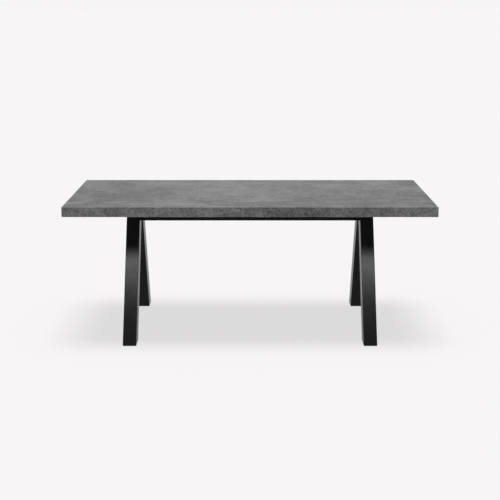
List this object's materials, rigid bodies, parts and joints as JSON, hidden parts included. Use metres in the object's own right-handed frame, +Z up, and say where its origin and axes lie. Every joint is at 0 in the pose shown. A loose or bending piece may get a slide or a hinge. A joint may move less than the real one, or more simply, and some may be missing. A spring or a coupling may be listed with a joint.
{
  "type": "extendable dining table",
  "caption": "Rectangular dining table with a thick stone-look slab on two slanted tube frames and a pull-out leaf in each end.",
  "frame": {"origin": "on the floor under the centre of the closed top", "axes": "+Z up, +X to the right along the length, the front is at -Y"},
  "size_m": [2, 1, 0.765],
  "materials": {
    "concrete_laminate": "matt concrete-look laminate on fibreboard",
    "concrete_edge": "matt concrete-look laminate on fibreboard edges",
    "backing_board": "grey balancing laminate on fibreboard",
    "timber": "planed beech",
    "honeycomb": "fibreboard honeycomb",
    "nylon": "natural nylon",
    "black_plastic": "matt black moulding",
    "rubber": "black rubber",
    "brass": "turned brass",
    "zinc_steel": "zinc plated",
    "black_steel": "satin black powder coat"
  },
  "bodies": {
    "table": {"top_panel": "concrete_laminate", "bottom_panel": "backing_board", "edge_rail_front": "timber", "edge_rail_rear": "timber", "edge_band_front": "concrete_edge", "edge_band_rear": "concrete_edge", "end_band_left": "concrete_edge", "end_band_right": "concrete_edge", "honeycomb_core": "honeycomb", "cross_rail_left": "timber", "cross_rail_right": "timber", "glide_strips_left": "nylon", "glide_strips_right": "nylon", "magnet_catches": "black_plastic", "stop_buffers": "rubber", "outer_runner_left_front": "zinc_steel", "outer_runner_left_rear": "zinc_steel", "outer_runner_right_front": "zinc_steel", "outer_runner_right_rear": "zinc_steel", "rail_screws": "zinc_steel", "leg_front_left": "black_steel", "leg_rear_left": "black_steel", "leg_front_right": "black_steel", "leg_rear_right": "black_steel", "foot_glides": "black_plastic", "top_plate_left": "black_steel", "top_plate_right": "black_steel", "spine_rail_front": "black_steel", "spine_rail_rear": "black_steel", "spine_end_plate_left": "black_steel", "spine_end_plate_right": "black_steel", "saddle_plates": "black_steel", "slab_bolts": "zinc_steel", "threaded_inserts": "brass", "frame_bolts": "zinc_steel", "frame_nuts": "zinc_steel"},
    "leaf_left": {"leaf_panel_left": "concrete_laminate", "leaf_fascia_left": "concrete_edge", "fascia_dowels_left": "timber", "strike_plate_left": "zinc_steel", "inner_runner_left_front": "zinc_steel", "inner_runner_left_rear": "zinc_steel", "inner_pads_left": "nylon", "leaf_screws_left": "zinc_steel"},
    "middle_left_front": {"middle_runner_left_front": "zinc_steel", "middle_pads_left_front": "nylon"},
    "middle_left_rear": {"middle_runner_left_rear": "zinc_steel", "middle_pads_left_rear": "nylon"},
    "leaf_right": {"leaf_panel_right": "concrete_laminate", "leaf_fascia_right": "concrete_edge", "fascia_dowels_right": "timber", "strike_plate_right": "zinc_steel", "inner_runner_right_front": "zinc_steel", "inner_runner_right_rear": "zinc_steel", "inner_pads_right": "nylon", "leaf_screws_right": "zinc_steel"},
    "middle_right_front": {"middle_runner_right_front": "zinc_steel", "middle_pads_right_front": "nylon"},
    "middle_right_rear": {"middle_runner_right_rear": "zinc_steel", "middle_pads_right_rear": "nylon"}
  },
  "joints": [
    {"name": "left_leaf_slide", "type": "slide", "parent": "table", "child": "leaf_left", "axis": [-1, 0, 0], "range_m": [0, 0.45]},
    {"name": "right_leaf_slide", "type": "slide", "parent": "table", "child": "leaf_right", "axis": [1, 0, 0], "range_m": [0, 0.45]},
    {"name": "left_front_runner_slide", "type": "slide", "parent": "table", "child": "middle_left_front", "axis": [-1, 0, 0], "range_m": [0, 0.225]},
    {"name": "left_rear_runner_slide", "type": "slide", "parent": "table", "child": "middle_left_rear", "axis": [-1, 0, 0], "range_m": [0, 0.225]},
    {"name": "right_front_runner_slide", "type": "slide", "parent": "table", "child": "middle_right_front", "axis": [1, 0, 0], "range_m": [0, 0.225]},
    {"name": "right_rear_runner_slide", "type": "slide", "parent": "table", "child": "middle_right_rear", "axis": [1, 0, 0], "range_m": [0, 0.225]}
  ],
  "couplings": [
    {"joint": "left_front_runner_slide", "follows": "left_leaf_slide", "ratio": 0.5},
    {"joint": "left_rear_runner_slide", "follows": "left_leaf_slide", "ratio": 0.5},
    {"joint": "right_front_runner_slide", "follows": "right_leaf_slide", "ratio": 0.5},
    {"joint": "right_rear_runner_slide", "follows": "right_leaf_slide", "ratio": 0.5}
  ]
}
